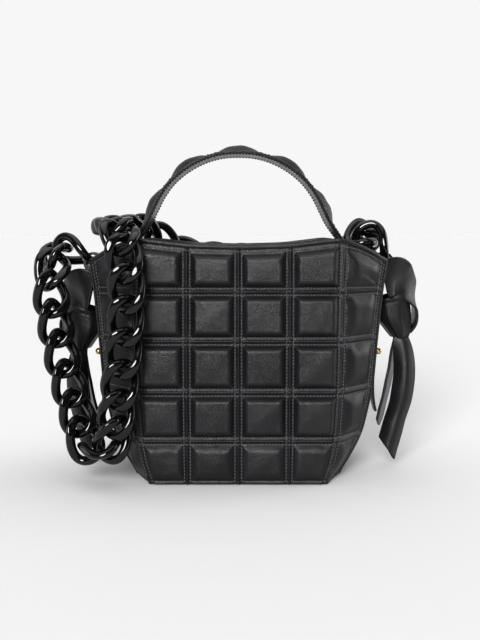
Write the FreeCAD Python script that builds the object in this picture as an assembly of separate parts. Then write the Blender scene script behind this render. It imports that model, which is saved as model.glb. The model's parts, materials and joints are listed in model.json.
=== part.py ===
"""Bucket bag: quilted body, padded top handle, tied side straps and a curb chain.

Millimetres, +Z up, origin on the floor under the centre of the base.
Front of the bag faces -Y.  Every physical piece is written as its own STEP file.
"""
import math
import os

import FreeCAD
import Part

V = FreeCAD.Vector

# ---------------------------------------------------------------- driving dimensions
# Body plan at each height: corner half width, front depth, side-seam half width and depth.
LEVELS = [
    # z, corner_x, front_y, seam_x, seam_y
    (0.0, 60.0, 44.0, 71.0, 22.0),
    (12.0, 66.0, 46.5, 80.0, 23.0),
    (32.0, 70.0, 48.5, 90.0, 24.0),
    (66.0, 72.0, 49.5, 97.5, 25.0),
    (102.0, 72.5, 49.5, 100.5, 25.0),
    (137.0, 73.0, 48.5, 104.0, 25.0),
    (175.0, 74.0, 46.5, 110.0, 24.0),
]
PLEAT = [(0.0, 0.0), (66.0, 0.0), (102.0, 6.0), (137.0, 22.0), (175.0, 38.0)]
PLEAT_HALF = 18.0                     # half width of the flat strip at the pleat's root
RIM = [(0.0, 167.6), (36.0, 168.6), (72.0, 173.0), (92.0, 166.0), (110.0, 156.0)]
WALL_LEVELS = [2.2, 12, 22, 32, 49, 66, 76, 84, 93, 102, 111, 120, 129, 137, 146, 156, 167, 178]
TILE_PITCH = 36.0
TILE_ROWS = [2.2, 31.5, 66.0, 102.0, 136.5]      # horizontal seams, the rim closes the fifth row
TILE_RISE = 4.2
LEATHER = 1.4
FOAM_GAP = 0.7
BASE_T = 2.0
BOARD_T = 2.4
LINING_T = 0.8
FACING_DEPTH = 22.0
FACING_T = 1.2

HANDLE_PATH = [(0.0, 235.6), (11.5, 234.9), (23.0, 232.0), (36.5, 225.4), (48.8, 215.5), (57.0, 204.6),
               (63.0, 192.8), (67.2, 184.5), (72.4, 176.8), (77.0, 170.2), (80.0, 165.6), (82.4, 161.5)]
HANDLE_W = 34.0
HANDLE_TAPER = 26.0                   # length over which the strap narrows to its sewn end
HANDLE_PAD_PITCH = 38.5
HANDLE_PAD_RISE = 4.6

STRAP_W = 24.0
STRAP_T = 2.2
TAB_W = 10.0
TAB_T = 1.8
FOLD = V(109.0, 0.0, 156.0)           # axis of the fold that carries the chain's end link
FOLD_R = 5.0
KNOT_DROP = 8.5                       # the left knot is tied lower than the right one
STUD_Z = 88.0

LINK_A = 15.2                         # link centreline half length
LINK_B = 10.1                         # link centreline half width
LINK_C = 4.8                          # link centreline twist height
LINK_D = 6.6                          # wire diameter
LINK_FLAT = 6.5                       # half thickness left after the flats are pressed
LINK_SLACK = 0.6
LINK_INERTIA = 90.0

# Chain run: x, y, z of the centreline, the direction across the link, and the local pitch.
CHAIN_RUN = [
    (-131, -1, 165, 0.6, 0.4, 0.7, 18.0),
    (-134, -13, 162, 0.8, 0.3, 0.5, 18.0),
    (-134, -25, 151, 0.9, 0.3, 0.3, 19.5),
    (-133, -36, 130, 0.74, 0.66, 0, 21.0),
    (-130, -37, 112, 0.74, 0.66, 0, 21.3),
    (-125, -38, 88, 0.75, 0.65, 0, 21.3),
    (-119, -39, 64, 0.8, 0.6, 0, 21.0),
    (-112, -42, 41, 0.85, 0.5, 0, 18.0),
    (-104, -47, 24, 0.9, 0.4, 0, 17.0),
    (-96, -52, 21, 0.9, 0.3, 0, 17.0),
    (-89, -58, 30, 0.95, 0.3, 0, 17.0),
    (-84, -62, 48, 1, 0.2, 0, 20.0),
    (-81, -64, 70, 1, 0.1, 0, 21.3),
    (-78, -64, 92, 1, 0, 0, 21.3),
    (-76, -64, 115, 1, 0, 0, 21.3),
    (-75, -63, 140, 1, 0, 0, 21.0),
    (-76, -61, 160, 1, 0, 0, 19.0),
    (-80, -53, 175, 1, 0, 0, 18.5),
    (-87, -38, 182, 1, 0, 0, 19.5),
    (-94, -20, 182, 1, 0, 0, 20.0),
    (-96, 0, 182, 1, 0, 0, 21.0),
    (-92, 14, 184, 1, -0.3, 0, 21.0),
    (-85, 28, 185, 0.8, -0.6, 0, 21.5),
    (-78, 41, 185, 0.75, -0.7, 0, 22.0),
    (-71, 53, 179, 0.75, -0.6, 0.3, 22.5),
    (-62, 60, 169, 0.7, -0.4, 0.6, 22.6),
    (-49, 65, 161, 0.6, -0.2, 0.75, 22.7),
    (-31, 67, 157, 0.4, 0, 0.9, 22.8),
    (-10, 67, 156, 0.2, 0, 1, 22.8),
    (12, 67, 155, 0, 0, 1, 22.8),
    (33, 66, 155, 0, 0, 1, 22.8),
    (54, 64, 156, -0.2, 0, 1, 22.8),
    (72, 61, 157, -0.3, 0.1, 1, 22.7),
    (86, 55, 159, -0.4, 0.3, 0.9, 22.6),
    (95, 48, 163, -0.5, 0.4, 0.8, 22.3),
    (101, 40, 169, -0.6, 0.5, 0.7, 22.0),
    (103, 29, 176, -0.5, 0.7, 0.6, 21.0),
    (102, 16, 180.5, -0.5, 0.6, 0.6, 20.0),
    (97.5, 2, 180, -0.5, 0.6, 0.6, 19.5),
]
LINK_COUNT = 34
LINK_33_CLEARANCE = 0.6                # how far link 33 is eased away from the handle

NODES = {}


# ---------------------------------------------------------------- small tools
def lerp_table(table, key, column=1):
    """Straight-line value of a column at a key."""
    if key <= table[0][0]:
        return table[0][column]
    for low, high in zip(table, table[1:]):
        if key <= high[0]:
            part = (key - low[0]) / (high[0] - low[0])
            return low[column] + part * (high[column] - low[column])
    return table[-1][column]


def soft_table(table, key, column=1):
    """Smooth value of a column: the average of the straight-line value around the key."""
    reach = 7.0
    return sum(lerp_table(table, key + reach * k / 3.0, column) for k in range(-3, 4)) / 7.0


def rim_z(x):
    """Height of the bag's mouth at a distance from the middle."""
    return soft_table(RIM, abs(x))


def smooth(a):
    """Ease from 0 to 1."""
    a = max(0.0, min(1.0, a))
    return a * a * (3.0 - 2.0 * a)


def solid_of(faces):
    """Closed solid from faces that meet along their edges."""
    shell = Part.Shell(faces)
    if len(faces) > 1:
        shell.sewShape()
    body = Part.Solid(shell)
    if body.Volume < 0:
        body.reverse()
    return body


def end_knots(count):
    """Knots and multiplicities of a cubic that starts and ends on its first and last points."""
    spans = count - 3
    return [float(k) for k in range(spans + 1)], [4] + [1] * (spans - 1) + [4]


def skin(grid):
    """Smooth surface drawn by a grid of points, exact at its corners and free of ripples."""
    u_knots, u_mults = end_knots(len(grid))
    v_knots, v_mults = end_knots(len(grid[0]))
    surface = Part.BSplineSurface()
    surface.buildFromPolesMultsKnots(grid, u_mults, v_mults, u_knots, v_knots, False, False, 3, 3)
    return surface


def slab(top, bottom):
    """Solid between two smooth surfaces given as matching grids of points."""
    upper = skin(top)
    lower = skin(bottom)
    u0, u1, v0, v1 = upper.bounds()
    a0, a1, b0, b1 = lower.bounds()
    faces = [upper.toShape(), lower.toShape()]
    pairs = [
        (upper.uIso(u0), lower.uIso(a0)),
        (upper.uIso(u1), lower.uIso(a1)),
        (upper.vIso(v0), lower.vIso(b0)),
        (upper.vIso(v1), lower.vIso(b1)),
    ]
    for one, two in pairs:
        faces.append(Part.makeRuledSurface(one.toShape(), two.toShape()))
    return solid_of(faces)


def grid_normals(grid):
    """Unit normals of a grid of points, from its neighbours."""
    rows = len(grid)
    cols = len(grid[0])
    out = []
    for i in range(rows):
        line = []
        for j in range(cols):
            du = grid[min(i + 1, rows - 1)][j] - grid[max(i - 1, 0)][j]
            dv = grid[i][min(j + 1, cols - 1)] - grid[i][max(j - 1, 0)]
            n = du.cross(dv)
            n.normalize()
            line.append(n)
        out.append(line)
    return out


def shifted(grid, normals, distance):
    """The grid moved along its normals."""
    return [[p + n * distance for p, n in zip(line, nl)] for line, nl in zip(grid, normals)]


def cylinder(a, b, radius):
    """Round bar between two points."""
    axis = b - a
    return Part.makeCylinder(radius, axis.Length, a, axis)


def mirror_x(shape):
    """The same piece for the other side of the bag."""
    return shape.mirror(V(0, 0, 0), V(1, 0, 0))


def mirror_y(shape):
    """The same piece for the back of the bag."""
    return shape.mirror(V(0, 0, 0), V(0, 1, 0))


# ---------------------------------------------------------------- quilted panels
COLUMN_STOPS = [0.0, 0.09, 0.2, 0.33, 0.5, 0.67, 0.8, 0.91]


def wall_point(u, z):
    """Front wall: u is -3..3 across, seams at whole numbers, corners at +-2, side seams at +-3."""
    corner_x = soft_table(LEVELS, z, 1)
    front_y = soft_table(LEVELS, z, 2)
    seam_x = soft_table(LEVELS, z, 3)
    seam_y = soft_table(LEVELS, z, 4)
    side = 1.0 if u >= 0 else -1.0
    a = abs(u)

    def plain(b):
        if b <= 1.0:
            return (TILE_PITCH * b, -front_y)
        if b <= 2.0:
            return (TILE_PITCH + (corner_x - TILE_PITCH) * (b - 1.0), -front_y)
        k = b - 2.0
        return (corner_x + (seam_x - corner_x) * k, -front_y + (front_y - seam_y) * k)

    reach = 0.16 if a > 1.7 and a < 2.3 else 0.0
    if reach:
        reach = 0.16 * (1.0 - abs(a - 2.0) / 0.3)
        one = plain(a - reach)
        two = plain(a + reach)
        mid = plain(a)
        x = (one[0] + two[0] + 2 * mid[0]) / 4.0
        y = (one[1] + two[1] + 2 * mid[1]) / 4.0
    else:
        x, y = plain(a)
    return V(side * x, y, z)


def row_heights(u):
    """Heights of the six horizontal lines at a column: base, four seams and the rim."""
    top = rim_z(wall_point(u, 165.0).x)
    return TILE_ROWS + [top]


def tile_rise(a, b, width, height, rise):
    """Padding height at a place inside one tile, 0 on its seams."""
    def edge(t, size):
        from_seam = min(t, 1.0 - t) * size
        return smooth((from_seam - 2.6) / 5.0)
    return rise * edge(a, width) * edge(b, height)


def panel_grid(layer, columns=None, rows=None):
    """Grid of the front panel; layer 0 is the unpadded wall, 1 the padded outer face."""
    us = [-3 + tile + stop for tile in range(6) for stop in COLUMN_STOPS] + [3.0]
    grid = []
    for row in range(5):
        for stop in COLUMN_STOPS:
            line = []
            for u in us:
                line.append(panel_point(u, row, stop, layer))
            grid.append(line)
    grid.append([panel_point(u, 4, 1.0, layer) for u in us])
    return grid


def panel_point(u, row, b, layer):
    """Point on the front panel inside a given row of tiles."""
    heights = row_heights(u)
    z = heights[row] + (heights[row + 1] - heights[row]) * b
    base = wall_point(u, z)
    if not layer:
        return base
    tile = min(5, int(math.floor(u + 3)))
    a = u + 3 - tile
    width = 34.0
    rise = TILE_RISE * (0.45 if row == 0 else 1.0) * (0.6 if tile in (0, 5) else 1.0)
    lift = tile_rise(a, b, width, heights[row + 1] - heights[row], rise)
    east = wall_point(min(3.0, u + 0.05), z)
    west = wall_point(max(-3.0, u - 0.05), z)
    along = east - west
    out = V(along.y, -along.x, 0)
    out.normalize()
    return base + out * lift


def make_panels():
    """Front and back panels and the foam tiles behind them."""
    outer = panel_grid(1)
    normals = grid_normals(outer)
    if normals[0][len(normals[0]) // 2].y > 0:
        normals = [[n * -1 for n in line] for line in normals]
    inner = shifted(outer, normals, -LEATHER)
    for j in range(len(inner[0])):
        inner[0][j].z = outer[0][j].z
        inner[-1][j].z = outer[-1][j].z
    panel = slab(outer, inner)
    NODES["front_panel"] = panel
    NODES["back_panel"] = mirror_y(panel)

    stops = [0.26, 0.36, 0.5, 0.64, 0.74]
    tiles = []
    for row in range(5):
        for tile in range(6):
            top = []
            bottom = []
            for b in stops:
                top_line = []
                bottom_line = []
                for a in stops:
                    u = -3 + tile + a
                    face = panel_point(u, row, b, 1)
                    wall = panel_point(u, row, b, 0)
                    out = face - wall
                    thick = out.Length
                    if thick < 1e-6:
                        out = V(0, -1, 0)
                    out.normalize()
                    top_line.append(wall + out * (thick - LEATHER - FOAM_GAP))
                    bottom_line.append(wall - out * (LEATHER + 0.4))
                top.append(top_line)
                bottom.append(bottom_line)
            tiles.append(slab(top, bottom))
    tiles += [mirror_y(tile) for tile in tiles]
    NODES["quilt_pads"] = Part.makeCompound(tiles)


# ---------------------------------------------------------------- gussets, base and lining
def offset_line(points, distance):
    """Open polyline moved to its left by a distance, mitred at its corners."""
    spots = [V(x, y, 0) for x, y in points]
    normals = []
    for one, two in zip(spots, spots[1:]):
        d = two - one
        n = V(-d.y, d.x, 0)
        n.normalize()
        normals.append(n)
    out = []
    for i, p in enumerate(spots):
        near = normals[max(0, i - 1)]
        mean = near + normals[min(i, len(normals) - 1)]
        mean.normalize()
        q = p + mean * (distance / max(0.35, mean.dot(near)))
        out.append((q.x, q.y))
    return out


def ring(points, z):
    """Closed polygon wire at a height."""
    corners = [V(x, y, z) for x, y in points]
    return Part.makePolygon(corners + [corners[0]])


def pleat_line(z, inset):
    """Right gusset in plan at a height, front seam to back seam, moved inward by an inset."""
    seam_x = soft_table(LEVELS, z, 3)
    seam_y = soft_table(LEVELS, z, 4)
    root_x = seam_x - soft_table(PLEAT, z)
    line = [(seam_x, -seam_y), (root_x, -PLEAT_HALF), (root_x, PLEAT_HALF), (seam_x, seam_y)]
    return offset_line(line, inset)


def cut_to_rim(shape, drop=0.0):
    """Trim a shape to the curve of the bag's mouth."""
    xs = [x * 4.0 for x in range(-32, 33)]
    top = [V(x, -80, rim_z(x) - drop) for x in xs]
    wire = Part.makePolygon(top + [V(xs[-1], -80, 260), V(xs[0], -80, 260), top[0]])
    return shape.cut(Part.Face(wire).extrude(V(0, 160, 0)))


def make_gussets():
    """Smooth side gussets, folded inward as a box pleat towards the mouth."""
    wires = []
    for z in WALL_LEVELS:
        outer = pleat_line(z, 0.0)
        inner = pleat_line(z, LEATHER)
        gap = 2.6
        outer[0] = (outer[0][0] - 0.2, outer[0][1] + gap)
        outer[-1] = (outer[-1][0] - 0.2, outer[-1][1] - gap)
        inner[0] = (inner[0][0], inner[0][1] + gap)
        inner[-1] = (inner[-1][0], inner[-1][1] - gap)
        wires.append(ring(outer + inner[::-1], z))
    gusset = Part.makeLoft(wires, True, True)
    gusset = cut_to_rim(gusset)
    hole = cylinder(V(80, 0, STUD_Z), V(120, 0, STUD_Z), 1.3)
    gusset = gusset.cut(hole)
    NODES["gusset_right"] = gusset
    NODES["gusset_left"] = mirror_x(gusset)


def bag_ring(z, inset):
    """Closed plan of the bag's inside at a height."""
    corner_x = soft_table(LEVELS, z, 1) - inset * 0.8
    front_y = soft_table(LEVELS, z, 2) - inset
    seam_x = soft_table(LEVELS, z, 3) - inset * 2.2
    seam_y = soft_table(LEVELS, z, 4) + 0.0
    root_x = soft_table(LEVELS, z, 3) - soft_table(PLEAT, z) - inset
    deep = soft_table(PLEAT, z)
    seam_in = max(0.0, min(1.0, deep / 12.0))
    tip_y = seam_y + 1.0 * seam_in
    half = PLEAT_HALF + 1.4 * seam_in - 0.6 * inset * (1.0 - seam_in)
    quarter = [(corner_x, -front_y), (seam_x, -tip_y), (root_x, -half)]
    right = quarter + [(x, -y) for x, y in quarter[::-1]]
    return right + [(-x, y) for x, y in right[::-1]]


def make_base_and_lining():
    """Base panel, stiffening board, lining and the leather facing inside the mouth."""
    outline = bag_ring(0.0, 0.6)
    NODES["base_panel"] = Part.Face(ring(outline, 0.0)).extrude(V(0, 0, BASE_T))
    board = bag_ring(3.0, 7.5)
    NODES["base_board"] = Part.Face(ring(board, BASE_T + 0.1)).extrude(V(0, 0, BOARD_T))
    floor = BASE_T + BOARD_T + 0.2
    levels = [floor] + WALL_LEVELS[1:]
    inset = LEATHER + 3.2
    outer = Part.makeLoft([ring(bag_ring(z, inset), z) for z in levels], True, True)
    levels[0] = floor + LINING_T
    inner = Part.makeLoft([ring(bag_ring(z, inset + LINING_T + 0.3), z) for z in levels], True, True)
    lining = cut_to_rim(outer.cut(inner), FACING_DEPTH)
    NODES["lining"] = lining
    levels[0] = floor + FACING_T
    inner = Part.makeLoft([ring(bag_ring(z, inset + FACING_T + 0.4), z) for z in levels], True, True)
    facing = cut_to_rim(outer.cut(inner), 0.8)
    keep = cut_to_rim(facing, FACING_DEPTH - 0.1)
    facing = facing.cut(keep)
    NODES["rim_facing"] = facing


def make_inside():
    """The two halves of the magnetic snap, one on each facing."""
    z = 157.0
    for node, side in (("snap_socket", -1), ("snap_stud", 1)):
        face = side * 40.8
        disc = cylinder(V(0, face, z), V(0, face - side * 2.4, z), 7.0)
        if node == "snap_socket":
            well = cylinder(V(0, face - side * 1.2, z), V(0, face - side * 3.0, z), 2.4)
            disc = disc.cut(well)
        else:
            tip = cylinder(V(0, face - side * 2.4, z), V(0, face - side * 3.6, z), 2.1)
            disc = disc.fuse(tip)
        NODES[node] = disc


# ---------------------------------------------------------------- handle
def handle_curve():
    """Centreline of the handle from left foot to right foot."""
    right = [V(x, 0, z) for x, z in HANDLE_PATH]
    left = [V(-p.x, 0, p.z) for p in right[:0:-1]]
    curve = Part.BSplineCurve()
    curve.interpolate(left + right)
    return curve


def handle_station(curve, distance):
    """Point and outward normal at an arc length measured from the top of the handle."""
    total = curve.length()
    t = curve.parameterAtDistance(total / 2.0 + distance, curve.FirstParameter)
    p = curve.value(t)
    d = curve.tangent(t)[0]
    n = V(-d.z, 0, d.x)
    if n.z < 0 and abs(distance) < 1:
        n = n * -1
    return p, n


def handle_taper(from_end):
    """Width factor of the handle at a distance from its sewn end."""
    return 0.62 + 0.38 * smooth(from_end / HANDLE_TAPER)


def handle_grid(curve, stations, lift):
    """Grid of points over the handle; lift(s, y) is the height above the centreline."""
    ys = [-1.0, -0.93, -0.82, -0.6, -0.3, 0.0, 0.3, 0.6, 0.82, 0.93, 1.0]
    grid = []
    for s in stations:
        p, n = handle_station(curve, s)
        half = HANDLE_W / 2.0 * handle_taper(curve.length() / 2.0 - abs(s))
        grid.append([p + n * lift(s, y) + V(0, y * half, 0) for y in ys])
    return grid


def pad_height(s, y):
    """Height of the padding under the cover: full on a pad, none on the gaps, edges and ends."""
    half = HANDLE_PAD_PITCH / 2.0
    if abs(s) > HANDLE_PAD_PITCH * 2.5:
        return 0.0
    place = (s + half) % HANDLE_PAD_PITCH - half
    along = smooth((half - 1.8 - abs(place)) / 4.5)
    across = smooth((1.0 - abs(y)) * HANDLE_W / 2.0 / 6.5 - 0.25)
    return HANDLE_PAD_RISE * along * across


def make_handle():
    """Lining strip, padded cover and foam pads of the top handle."""
    curve = handle_curve()
    half = curve.length() / 2.0 - 0.5
    count = 100
    stations = [-half + 2 * half * i / count for i in range(count + 1)]
    inner = handle_grid(curve, stations, lambda s, y: -0.8)
    outer = handle_grid(curve, stations, lambda s, y: 0.0)
    NODES["handle_lining"] = slab(outer, inner)
    under = handle_grid(curve, stations, lambda s, y: 0.3 + pad_height(s, y))
    over = handle_grid(curve, stations, lambda s, y: 1.6 + pad_height(s, y))
    NODES["handle_cover"] = slab(over, under)
    pads = []
    for k in range(-2, 3):
        middle = k * HANDLE_PAD_PITCH
        reach = HANDLE_PAD_PITCH / 2.0 - 5.0
        cells = [middle + reach * i / 4.0 for i in range(-4, 5)]
        top = []
        bottom = []
        for s in cells:
            p, n = handle_station(curve, s)
            top_line = []
            bottom_line = []
            for i in range(-3, 4):
                y = 0.6 * i / 3.0
                across = V(0, y * HANDLE_W / 2.0, 0)
                top_line.append(p + n * (pad_height(s, y) - 0.7) + across)
                bottom_line.append(p + n * 0.35 + across)
            top.append(top_line)
            bottom.append(bottom_line)
        pads.append(slab(top, bottom))
    NODES["handle_pads"] = Part.makeCompound(pads)


def strap_frames(stations, count):
    """Even stations along a strap: position, direction, width direction, normal and width factor."""
    points = [V(*s[:3]) for s in stations]
    marks = [0.0]
    for one, two in zip(points, points[1:]):
        marks.append(marks[-1] + (two - one).Length)
    path = Part.BSplineCurve()
    path.interpolate(Points=points, Parameters=marks)
    frames = []
    for i in range(count + 1):
        t = marks[-1] * i / count
        k = max(j for j in range(len(marks)) if marks[j] <= t + 1e-9)
        k = min(k, len(marks) - 2)
        part = (t - marks[k]) / (marks[k + 1] - marks[k])
        low = stations[k]
        high = stations[k + 1]
        d = path.tangent(t)[0]
        w = V(*low[3:6]) * (1.0 - smooth(part)) + V(*high[3:6]) * smooth(part)
        w = w - d * w.dot(d)
        w.normalize()
        factor = 1.0
        if len(low) > 6:
            factor = low[6] + (high[6] - low[6]) * part
        frames.append((path.value(t), d, w, d.cross(w), factor))
    return frames


def strap(stations, width, thick, count=18, crease=0.0, slant=0.0):
    """Flat strap along a path.

    Each station is x, y, z, the direction of the strap's width and, if it narrows, a width factor.
    A crease in degrees folds the strap lengthwise, and a slant cuts its far end at an angle.
    """
    half = width / 2.0
    across = [-1.0, -0.85, -0.6, -0.3, 0.0, 0.3, 0.6, 0.85, 1.0]
    top = []
    bottom = []
    bend = 0.2
    for i, (p, d, w, n, factor) in enumerate(strap_frames(stations, count)):
        upper = []
        lower = []
        reach = half * factor
        slope = math.radians(crease) * factor
        for s in across:
            fold = math.sqrt(s * s + bend) - math.sqrt(bend)
            q = p + w * (s * reach * math.cos(slope)) + n * (fold * reach * math.sin(slope))
            q = q + d * (slant * s * smooth((i / count - 0.72) / 0.28))
            lean = (w * math.sin(slope) * -1.0 * (s / math.sqrt(s * s + bend)) + n * math.cos(slope))
            upper.append(q + lean * (thick / 2.0))
            lower.append(q - lean * (thick / 2.0))
        top.append(upper)
        bottom.append(lower)
    return slab(top, bottom)


def ribbon(stations, width, thick, count):
    """Flat strap whose path stays in the plane across the bag, cut from one profile."""
    edges = []
    sides = []
    frames = strap_frames(stations, count)
    for sign in (1.0, -1.0):
        curve = Part.BSplineCurve()
        curve.interpolate([p + n * (sign * thick / 2.0) for p, d, w, n, factor in frames])
        sides.append(curve)
        edges.append(curve.toShape())
    edges.append(Part.makeLine(sides[0].StartPoint, sides[1].StartPoint))
    edges.append(Part.makeLine(sides[0].EndPoint, sides[1].EndPoint))
    profile = Part.Wire(Part.__sortEdges__(edges))
    body = Part.Face(profile).extrude(V(0, width, 0))
    body.translate(V(0, -width / 2.0, 0))
    return body


def make_handle_feet():
    """Patches sewn to the outside of the pleat's root, under the handle's ends."""
    stations = []
    for z in (128.0, 135.0, 142.0, 149.0, 156.0):
        root = soft_table(LEVELS, z, 3) - soft_table(PLEAT, z)
        stations.append((root + 1.2, 0, z, 0, 1, 0))
    foot = strap(stations, 31.0, 1.5, 12)
    NODES["handle_feet"] = Part.makeCompound([foot, mirror_x(foot)])


# ---------------------------------------------------------------- tied side straps
def oval_ring(x, z, rx, ry, lean=0.0):
    """Closed oval wire at a height, its rim leaning up towards the outside of the knot."""
    curve = Part.BSplineCurve()
    points = []
    for i in range(16):
        a = 2 * math.pi * i / 16
        points.append(V(x + rx * math.cos(a), ry * math.sin(a), z + lean * math.cos(a)))
    curve.interpolate(points, True)
    return Part.Wire(curve.toShape())


def knot_shift(z, sway):
    """Inward shift of a knot's lower parts at a height, for a knot that hangs straighter."""
    return sway * (min(1.0, max(0.0, (131.0 - z) / 32.0)) + 0.8 * max(0.0, (98.0 - z) / 80.0))


def make_knots():
    """Two straps a side, sewn into the side seams and tied outside the bag."""
    loop_run = [
        (111.0, -23.0, 146.0, 0.0, 0.0, 1.0, 1.0),
        (114.6, -20.4, 146.5, 0.1, 0.05, 1.0, 1.0),
        (118.4, -16.4, 146.5, 0.35, 0.1, 0.93, 1.0),
        (122.4, -11.4, 142.5, 0.75, 0.4, 0.5, 1.0),
        (128.0, -6.0, 135.0, 0.6, 0.75, 0.3, 0.95),
        (132.3, -1.0, 124.0, 0.1, 1.0, 0.0, 0.85),
        (132.4, 0.0, 111.0, 0.0, 1.0, 0.0, 0.75),
    ]
    cone = [(98.8, 121.4, 5.6, 8.0, 0.0), (104.0, 120.4, 8.8, 11.0, 0.4), (113.0, 118.4, 11.1, 13.0, 1.0),
            (122.0, 117.4, 11.2, 13.6, 1.8), (131.0, 117.0, 10.6, 13.6, 2.6)]
    front_run = [
        (122.4, -7.0, 96.8, 1.0, 0.0, 0.0, 0.55),
        (124.0, -9.0, 86.0, 1.0, 0.0, 0.0, 0.85),
        (124.4, -10.6, 70.0, 1.0, 0.0, 0.0, 1.0),
        (122.3, -10.8, 52.0, 1.0, 0.0, 0.0, 1.0),
        (117.7, -10.8, 36.0, 1.0, 0.0, 0.0, 1.0),
    ]
    back_run = [
        (119.4, 5.2, 96.8, 0.35, 0.94, 0.0, 0.4),
        (119.0, 8.6, 86.0, 0.35, 0.94, 0.0, 0.65),
        (117.4, 11.8, 70.0, 0.35, 0.94, 0.0, 0.92),
        (113.2, 12.0, 50.0, 0.35, 0.94, 0.0, 0.92),
        (108.0, 12.0, 31.0, 0.35, 0.94, 0.0, 0.92),
    ]
    for side, drop, sway, tip in (("right", 0.0, 0.0, (112.0, 15.0)), ("left", KNOT_DROP, -3.0, (114.6, 25.0))):
        def swayed(run, share=1.0):
            return [(x + share * knot_shift(z, sway), y, z - drop) + rest for x, y, z, *tail in run
                    for rest in [tuple(tail)]]
        outer = []
        inner = []
        for z, x, rx, ry, up in cone:
            x += knot_shift(z, sway)
            outer.append(oval_ring(x, z - drop, rx, ry, up))
            inner.append(oval_ring(x, z - drop, rx - 2.2, ry - 2.2, up))
        tip_station = (tip[0], -10.8, tip[1], 1.0, 0.0, 0.0, 1.0)
        room = []
        for z, x, rx, ry, up in cone:
            lift = 1.0 if z > 130 else 0.0
            room.append(oval_ring(x + knot_shift(z, sway), z - drop + lift, rx + 0.4, ry + 0.4, up))
        loop = strap(swayed(loop_run, 0.8), STRAP_W, STRAP_T, 22).cut(Part.makeLoft(room, True))
        pieces = {
            "knot_loop": max(loop.Solids, key=lambda solid: solid.Volume),
            "knot_wrap": Part.makeLoft(outer, True).cut(Part.makeLoft(inner, True)),
            "tail_front": strap(swayed(front_run + [tip_station]), STRAP_W, STRAP_T, 16, -50.0, 7.0),
            "tail_back": strap(swayed(back_run, 0.4), STRAP_W, STRAP_T, 14, 0.0, 4.0),
        }
        for node, piece in pieces.items():
            NODES[node + "_" + side] = piece if side == "right" else mirror_x(piece)


# ---------------------------------------------------------------- chain tabs and studs
def make_tabs():
    """Folded tabs that carry the chain, each held to its gusset by a ball stud."""
    r = FOLD_R + TAB_T / 2.0
    stations = [(103.6, 0, 43.0, 0, 1, 0), (101.6, 0, 54.0, 0, 1, 0), (101.4, 0, 72.0, 0, 1, 0),
                (101.4, 0, STUD_Z, 0, 1, 0), (101.6, 0, 106.0, 0, 1, 0), (101.7, 0, 122.0, 0, 1, 0),
                (101.9, 0, 140.0, 0, 1, 0)]
    for deg in (185, 145, 105, 65, 25, -15):
        a = math.radians(deg)
        stations.append((FOLD.x + r * math.cos(a), 0, FOLD.z + r * math.sin(a), 0, 1, 0))
    stations.append((110.2, 0, 145.0, 0, 1, 0))
    stations.append((105.6, 0, 134.0, 0, 1, 0))
    stations.append((104.2, 0, 122.0, 0, 1, 0))
    stations.append((104.0, 0, 105.0, 0, 1, 0))
    tab = ribbon(stations, TAB_W, TAB_T, 60)
    hole = cylinder(V(90, 0, STUD_Z), V(120, 0, STUD_Z), 1.3)
    tab = tab.cut(hole)
    NODES["chain_tab_right"] = tab
    NODES["chain_tab_left"] = mirror_x(tab)
    face = 102.4
    root = pleat_line(STUD_Z, LEATHER)[1][0] - 0.5
    neck = cylinder(V(root - 0.1, 0, STUD_Z), V(face + 2.6, 0, STUD_Z), 1.15)
    ball = Part.makeSphere(2.5, V(face + 3.2, 0, STUD_Z))
    plate = cylinder(V(root - 1.0, 0, STUD_Z), V(root, 0, STUD_Z), 3.5)
    stud = neck.fuse([ball, plate]).removeSplitter()
    NODES["tab_studs"] = Part.makeCompound([stud, mirror_x(stud)])


# ---------------------------------------------------------------- chain
def frame(centre, along, across):
    """Placement of a link from its centre, its direction and the direction across it."""
    x = V(along)
    x.normalize()
    y = across - x * across.dot(x)
    y.normalize()
    return FreeCAD.Placement(centre, FreeCAD.Rotation(x, y, V(0, 0, 0), "XYZ"))


def hooked_link(side):
    """Placement of an end link whose wire lies in the fold of its tab."""
    along = V(-0.9, 0, 0.43) if side < 0 else V(0.5, 0, -0.86)
    along.normalize()
    fold = V(side * FOLD.x, FOLD.y, FOLD.z)
    tilt = math.atan2(2 * LINK_C, LINK_B)
    level = V(0, 1, 0) - along * along.y
    level.normalize()
    up = along.cross(level)
    across = level * (side * math.cos(tilt)) - up * math.sin(tilt)
    return frame(fold - along * (side * LINK_A), along, across)


def run_value(t, marks, first, last):
    """Values of some columns of the chain run at a place along it."""
    k = max([j for j in range(len(marks)) if marks[j] <= t] + [0])
    k = min(k, len(marks) - 2)
    part = (t - marks[k]) / (marks[k + 1] - marks[k])
    low = CHAIN_RUN[k][first:last]
    high = CHAIN_RUN[k + 1][first:last]
    return [a + (b - a) * part for a, b in zip(low, high)]


def chain_joints(curve, marks, scale):
    """Places along the run where one link meets the next."""
    first = curve.FirstParameter
    span = curve.LastParameter - first
    steps = 2500
    joints = [first]
    start = curve.value(first)
    for i in range(1, steps + 1):
        t = first + span * i / steps
        if (curve.value(t) - start).Length >= scale * run_value(joints[-1], marks, 6, 7)[0]:
            joints.append(t)
            start = curve.value(t)
    return joints


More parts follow.
